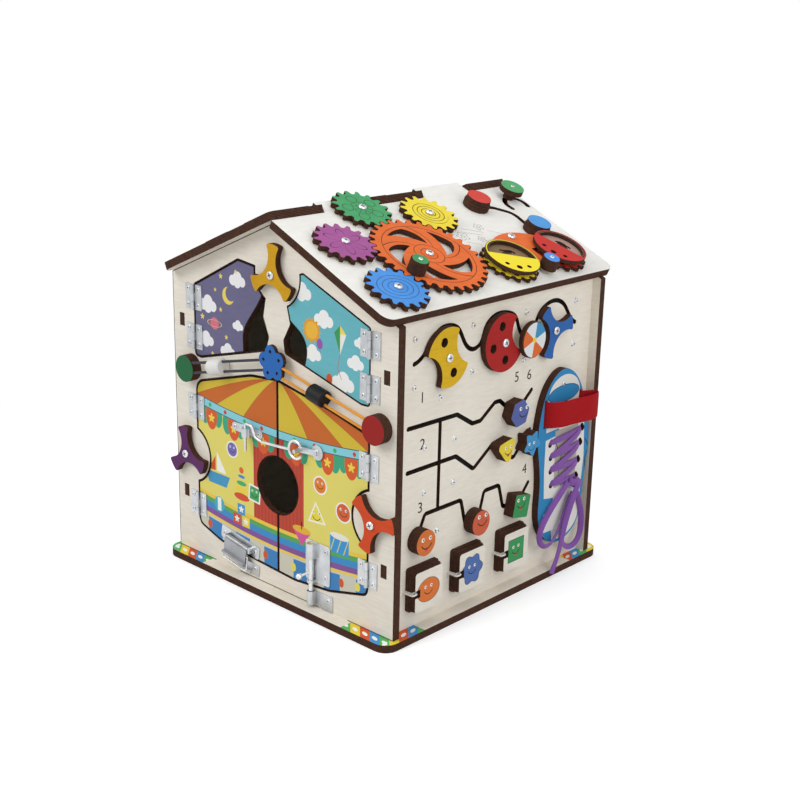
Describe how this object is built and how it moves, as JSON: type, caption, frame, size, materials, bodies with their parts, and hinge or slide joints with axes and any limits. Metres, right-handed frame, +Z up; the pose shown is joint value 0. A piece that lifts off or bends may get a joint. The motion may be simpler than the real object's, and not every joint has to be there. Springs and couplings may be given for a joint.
{
  "type": "busy board",
  "caption": "plywood activity house with latched doors, a maze wall with sliders and a lacing shoe, and a gear train on the roof",
  "frame": {"origin": "centre of the base plate's underside", "axes": "+Z up, -Y out of the front gable with the doors, +X out of the maze wall"},
  "size_m": [0.3426, 0.3424, 0.402],
  "materials": {
    "white_ply": "white faced plywood, burnt cut edges",
    "printed_ply": "plywood door with a printed face",
    "zinc": "zinc plated steel",
    "anchor_ply": "painted plywood discs",
    "elastic": "round woven elastic",
    "card_ply": "stacked plywood pages, white tie",
    "shoe_ply": "painted plywood",
    "webbing": "red woven webbing",
    "lace": "flat woven lace",
    "yellow_ply": "painted plywood",
    "purple_ply": "painted plywood",
    "orange_ply": "painted plywood",
    "blue_ply": "painted plywood",
    "green_ply": "painted plywood",
    "red_ply": "painted plywood",
    "white_bead": "gloss",
    "black_bead": "gloss"
  },
  "bodies": {
    "house": {"base_plate": "white_ply", "front_wall": "white_ply", "back_wall": "white_ply", "left_wall": "white_ply", "maze_backing": "white_ply", "maze_panel": "white_ply", "roof_right": "white_ply", "roof_left": "white_ply", "wall_fittings": "zinc", "screws": "zinc", "elastic_anchors": "anchor_ply", "elastics": "elastic", "card_stacks": "card_ply", "shoe_plate": "shoe_ply", "shoe_strap": "webbing", "shoe_lace": "lace", "lace_front_loop": "lace", "lace_back_loop": "lace", "lace_tail": "lace"},
    "upper_left_door": {"upper_left_door": "printed_ply", "upper_left_leaves": "zinc"},
    "upper_right_door": {"upper_right_door": "printed_ply", "upper_right_leaves": "zinc"},
    "lower_left_door": {"lower_left_door": "printed_ply", "lower_left_fittings": "zinc"},
    "lower_right_door": {"lower_right_door": "printed_ply", "lower_right_fittings": "zinc"},
    "hook": {"cabin_hook": "zinc"},
    "lever": {"latch_lever": "zinc"},
    "bail": {"latch_bail": "zinc"},
    "bolt": {"bolt_rod": "zinc"},
    "yellow_turner": {"yellow_turner": "yellow_ply"},
    "purple_turner": {"purple_turner": "purple_ply"},
    "orange_turner": {"orange_turner": "orange_ply"},
    "white_bead": {"white_bead": "white_bead"},
    "black_bead": {"black_bead": "black_bead"},
    "big_gear": {"big_gear": "orange_ply"},
    "blue_gear": {"blue_gear": "blue_ply"},
    "purple_gear": {"purple_gear": "purple_ply"},
    "green_gear": {"green_gear": "green_ply"},
    "yellow_gear": {"yellow_gear": "yellow_ply"},
    "yellow_wheel": {"yellow_wheel": "yellow_ply"},
    "red_wheel": {"red_wheel": "red_ply"},
    "rocker": {"rocker": "orange_ply"},
    "red_puck": {"red_puck": "red_ply"},
    "blue_puck": {"blue_puck": "blue_ply"},
    "green_puck": {"green_puck": "green_ply"},
    "yellow_spinner": {"yellow_spinner": "yellow_ply"},
    "red_spinner": {"red_spinner": "red_ply"},
    "blue_spinner": {"blue_spinner": "blue_ply"},
    "ball": {"ball_disc": "orange_ply"},
    "blue_hexagon": {"blue_hexagon": "blue_ply"},
    "yellow_triangle": {"yellow_triangle": "yellow_ply"},
    "blue_star": {"blue_star": "blue_ply"},
    "orange_circle": {"orange_circle": "orange_ply"},
    "red_circle": {"red_circle": "red_ply"},
    "green_square": {"green_square": "green_ply"},
    "orange_card": {"orange_card": "orange_ply"},
    "blue_card": {"blue_card": "blue_ply"},
    "green_card": {"green_card": "green_ply"}
  },
  "joints": [
    {"name": "upper_left_hinge", "type": "hinge", "parent": "house", "child": "upper_left_door", "pos_m": [-0.1255, -0.1574, 0.2695], "axis": [0, 0, -1], "range_deg": [0, 95]},
    {"name": "upper_right_hinge", "type": "hinge", "parent": "house", "child": "upper_right_door", "pos_m": [0.1255, -0.1574, 0.2695], "axis": [0, 0, 1], "range_deg": [0, 95]},
    {"name": "lower_left_hinge", "type": "hinge", "parent": "house", "child": "lower_left_door", "pos_m": [-0.1255, -0.1574, 0.11975], "axis": [0, 0, -1], "range_deg": [0, 95]},
    {"name": "lower_right_hinge", "type": "hinge", "parent": "house", "child": "lower_right_door", "pos_m": [0.1255, -0.1574, 0.11975], "axis": [0, 0, 1], "range_deg": [0, 95]},
    {"name": "hook_swing", "type": "hinge", "parent": "lower_left_door", "child": "hook", "pos_m": [-0.041, -0.162, 0.1625], "axis": [0, 0, -1], "range_deg": [0, 100]},
    {"name": "lever_lift", "type": "hinge", "parent": "lower_left_door", "child": "lever", "pos_m": [-0.0585, -0.159, 0.0415], "axis": [-0.9877, 0, 0.1564], "range_deg": [0, 95]},
    {"name": "bail_swing", "type": "hinge", "parent": "lever", "child": "bail", "pos_m": [-0.05975, -0.1609, 0.0336], "axis": [-0.9877, 0, 0.1564], "range_deg": [0, 75]},
    {"name": "bolt_slide", "type": "slide", "parent": "lower_right_door", "child": "bolt", "axis": [0, 0, 1], "range_m": [-0.005, 0.012]},
    {"name": "yellow_turner_spin", "type": "hinge", "parent": "house", "child": "yellow_turner", "pos_m": [0, -0.155, 0.3335], "axis": [0, -1, 0], "continuous": true},
    {"name": "purple_turner_spin", "type": "hinge", "parent": "house", "child": "purple_turner", "pos_m": [-0.1365, -0.155, 0.1202], "axis": [0, -1, 0], "continuous": true},
    {"name": "orange_turner_spin", "type": "hinge", "parent": "house", "child": "orange_turner", "pos_m": [0.1356, -0.155, 0.1206], "axis": [0, -1, 0], "continuous": true},
    {"name": "white_bead_slide", "type": "slide", "parent": "house", "child": "white_bead", "axis": [0.9723, 0, 0.2337], "range_m": [-0.012, 0.012]},
    {"name": "black_bead_slide", "type": "slide", "parent": "house", "child": "black_bead", "axis": [-0.9769, 0, 0.2138], "range_m": [-0.012, 0.012]},
    {"name": "big_gear_spin", "type": "hinge", "parent": "house", "child": "big_gear", "pos_m": [0.09666, -0.051, 0.3485], "axis": [0.4104, 0, 0.9119], "continuous": true},
    {"name": "blue_gear_spin", "type": "hinge", "parent": "house", "child": "blue_gear", "pos_m": [0.12979, -0.1289, 0.33359], "axis": [0.4104, 0, 0.9119], "continuous": true},
    {"name": "purple_gear_spin", "type": "hinge", "parent": "house", "child": "purple_gear", "pos_m": [0.0612, -0.12765, 0.36446], "axis": [0.4104, 0, 0.9119], "continuous": true},
    {"name": "green_gear_spin", "type": "hinge", "parent": "house", "child": "green_gear", "pos_m": [0.01911, -0.06341, 0.3834], "axis": [0.4104, 0, 0.9119], "continuous": true},
    {"name": "yellow_gear_spin", "type": "hinge", "parent": "house", "child": "yellow_gear", "pos_m": [0.04124, 0.00978, 0.37344], "axis": [0.4104, 0, 0.9119], "continuous": true},
    {"name": "yellow_wheel_spin", "type": "hinge", "parent": "house", "child": "yellow_wheel", "pos_m": [0.12676, 0.0345, 0.33496], "axis": [0.4104, 0, 0.9119], "continuous": true},
    {"name": "red_wheel_spin", "type": "hinge", "parent": "house", "child": "red_wheel", "pos_m": [0.12676, 0.1115, 0.33496], "axis": [0.4104, 0, 0.9119], "continuous": true},
    {"name": "rocker_tilt", "type": "hinge", "parent": "house", "child": "rocker", "pos_m": [0.09575, 0.073, 0.34891], "axis": [0.4104, 0, 0.9119], "range_deg": [-5, 5]},
    {"name": "red_puck_slide", "type": "slide", "parent": "house", "child": "red_puck", "axis": [0.2399, 0.9648, -0.108], "range_m": [0, 0.012]},
    {"name": "blue_puck_slide", "type": "slide", "parent": "house", "child": "blue_puck", "axis": [-0.9091, 0.0787, 0.4091], "range_m": [0, 0.014]},
    {"name": "green_puck_arc", "type": "hinge", "parent": "house", "child": "green_puck", "pos_m": [0.04286, 0.151, 0.37271], "axis": [0.4104, 0, 0.9119], "range_deg": [-55, 55]},
    {"name": "yellow_spinner_spin", "type": "hinge", "parent": "house", "child": "yellow_spinner", "pos_m": [0.15, -0.085, 0.2708], "axis": [1, 0, 0], "continuous": true},
    {"name": "red_spinner_spin", "type": "hinge", "parent": "house", "child": "red_spinner", "pos_m": [0.15, -0.0035, 0.2703], "axis": [1, 0, 0], "continuous": true},
    {"name": "blue_spinner_spin", "type": "hinge", "parent": "house", "child": "blue_spinner", "pos_m": [0.15, 0.0773, 0.2684], "axis": [1, 0, 0], "continuous": true},
    {"name": "ball_slide", "type": "slide", "parent": "house", "child": "ball", "axis": [0, -0.5719, 0.8203], "range_m": [0, 0.006]},
    {"name": "blue_hexagon_slide", "type": "slide", "parent": "house", "child": "blue_hexagon", "axis": [0, -0.7809, 0.6247], "range_m": [0, 0.014]},
    {"name": "yellow_triangle_slide", "type": "slide", "parent": "house", "child": "yellow_triangle", "axis": [0, 0.8087, -0.5882], "range_m": [-0.006, 0.01]},
    {"name": "blue_star_slide", "type": "slide", "parent": "house", "child": "blue_star", "axis": [0, 0.7071, 0.7071], "range_m": [-0.008, 0.0016]},
    {"name": "orange_circle_slide", "type": "slide", "parent": "house", "child": "orange_circle", "axis": [0, 0.4399, 0.8981], "range_m": [0, 0.014]},
    {"name": "red_circle_slide", "type": "slide", "parent": "house", "child": "red_circle", "axis": [0, 1, 0], "range_m": [-0.006, 0.006]},
    {"name": "green_square_slide", "type": "slide", "parent": "house", "child": "green_square", "axis": [0, 1, 0], "range_m": [-0.007, 0.007]},
    {"name": "orange_card_turn", "type": "hinge", "parent": "house", "child": "orange_card", "pos_m": [0.1606, -0.1285, 0.0485], "axis": [0, 0, -1], "range_deg": [0, 110]},
    {"name": "blue_card_turn", "type": "hinge", "parent": "house", "child": "blue_card", "pos_m": [0.1606, -0.065, 0.0485], "axis": [0, 0, -1], "range_deg": [0, 110]},
    {"name": "green_card_turn", "type": "hinge", "parent": "house", "child": "green_card", "pos_m": [0.1606, 0.004, 0.0485], "axis": [0, 0, -1], "range_deg": [0, 110]}
  ],
  "couplings": [
    {"joint": "blue_gear_spin", "follows": "big_gear_spin", "ratio": -2},
    {"joint": "purple_gear_spin", "follows": "big_gear_spin", "ratio": -2},
    {"joint": "green_gear_spin", "follows": "big_gear_spin", "ratio": -2},
    {"joint": "yellow_gear_spin", "follows": "big_gear_spin", "ratio": -2}
  ]
}
